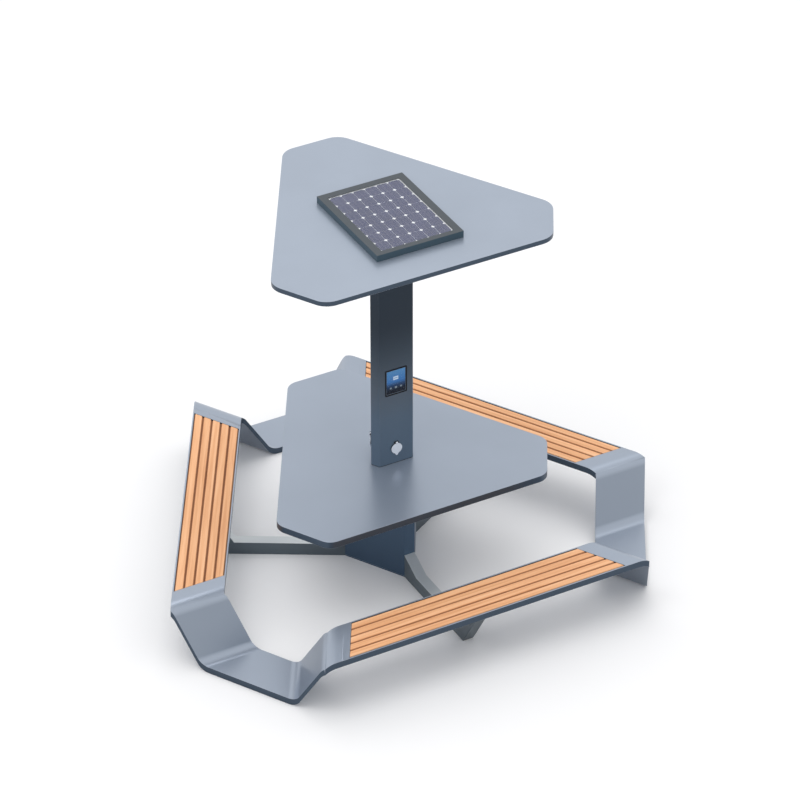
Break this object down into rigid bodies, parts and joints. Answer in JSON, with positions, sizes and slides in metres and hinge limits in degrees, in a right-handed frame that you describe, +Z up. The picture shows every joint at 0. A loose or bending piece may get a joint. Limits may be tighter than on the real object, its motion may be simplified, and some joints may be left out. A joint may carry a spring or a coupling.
{
  "type": "solar charging bench",
  "caption": "Three-sided bench ring with wood slats round a table, whose hollow post carries a solar roof, a display and sockets under flip covers.",
  "frame": {"origin": "on the upright axis of the post, at the floor", "axes": "+Z up; +X towards the right-hand corner of the bench ring, -Y towards the viewer of the picture, so the left seat runs along Y and the front seat faces 60 degrees below +X"},
  "size_m": [3.019, 3.486, 2.627],
  "materials": {
    "frame_paint": "slate blue powder coat, satin",
    "top_paint": "pale blue-grey powder coat, satin gloss",
    "dark_paint": "dark petrol powder coat, satin",
    "post_paint": "dark slate powder coat, satin gloss",
    "plain_steel": "primed grey",
    "fastener_steel": "zinc plated",
    "slat_wood": "light warm oiled wood",
    "gasket_rubber": "matt black",
    "panel_frame_paint": "dark grey anodised",
    "panel_glass": "clear, low iron",
    "cell_silicon": "blue-grey, faint fingers",
    "backsheet_white": "white",
    "black_plastic": "black, fine texture",
    "display_glass": "clear gloss",
    "display_panel": "lit blue",
    "cover_metal": "pale satin",
    "battery_case": "black",
    "brass": "bright",
    "controller_case": "dark blue-grey",
    "cable_rubber": "matt black"
  },
  "bodies": {
    "frame": {"base_plate": "dark_paint", "pedestal_shell": "dark_paint", "pedestal_top_plate": "dark_paint", "floor_arm_left": "frame_paint", "floor_arm_front": "frame_paint", "floor_arm_back": "frame_paint", "arm_head_bolts": "fastener_steel", "seat_frame_left": "frame_paint", "seat_frame_front": "frame_paint", "seat_frame_back": "frame_paint", "corner_frame_near_left": "frame_paint", "corner_frame_right": "frame_paint", "corner_frame_far_left": "frame_paint", "splice_plates": "plain_steel", "splice_bolts": "fastener_steel", "slat_bearers": "plain_steel", "seat_slats_left": "slat_wood", "seat_slats_front": "slat_wood", "seat_slats_back": "slat_wood", "slat_screws": "fastener_steel", "table_top": "top_paint", "table_ribs": "plain_steel", "table_underpanel": "frame_paint", "table_bolts": "fastener_steel", "post_gasket": "gasket_rubber", "post_shell": "post_paint", "post_foot_plate": "dark_paint", "post_foot_bolts": "fastener_steel", "post_cap_plate": "dark_paint", "roof_top": "top_paint", "roof_ribs": "plain_steel", "roof_underpanel": "frame_paint", "roof_bolts": "fastener_steel", "panel_frame": "panel_frame_paint", "panel_glass": "panel_glass", "panel_cells": "cell_silicon", "panel_backsheet": "backsheet_white", "junction_box": "black_plastic", "display_bezel": "black_plastic", "display_glass": "display_glass", "display_screen": "display_panel", "display_housing": "black_plastic", "socket_housings": "black_plastic", "socket_sleeves": "fastener_steel", "cover_pins": "fastener_steel", "door_hinges": "plain_steel", "door_pins": "fastener_steel", "battery": "battery_case", "battery_terminals": "brass", "charge_controller": "controller_case", "terminal_block": "black_plastic", "solar_cable": "cable_rubber", "output_cables": "cable_rubber", "battery_cables": "cable_rubber"},
    "cover_front": {"socket_cover_front": "cover_metal"},
    "cover_left": {"socket_cover_left": "cover_metal"},
    "cover_back": {"socket_cover_back": "cover_metal"},
    "service_door": {"service_door": "dark_paint"},
    "door_latch": {"latch_barrel": "fastener_steel", "latch_cam": "fastener_steel"}
  },
  "joints": [
    {"name": "cover_front_hinge", "type": "hinge", "parent": "frame", "child": "cover_front", "pos_m": [0.0575, -0.09959, 0.949], "axis": [-0.866, -0.5, 0], "range_deg": [0, 110]},
    {"name": "cover_left_hinge", "type": "hinge", "parent": "frame", "child": "cover_left", "pos_m": [-0.115, 0, 0.949], "axis": [0, 1, 0], "range_deg": [0, 110]},
    {"name": "cover_back_hinge", "type": "hinge", "parent": "frame", "child": "cover_back", "pos_m": [0.0575, 0.09959, 0.949], "axis": [0.866, -0.5, 0], "range_deg": [0, 110]},
    {"name": "service_door_hinge", "type": "hinge", "parent": "frame", "child": "service_door", "pos_m": [-0.24515, 0.06862, 0.385], "axis": [0, 0, 1], "range_deg": [0, 110]},
    {"name": "door_latch_turn", "type": "hinge", "parent": "service_door", "child": "door_latch", "pos_m": [0.02706, 0.22312, 0.385], "axis": [-0.5, 0.866, 0], "range_deg": [0, 90]}
  ]
}
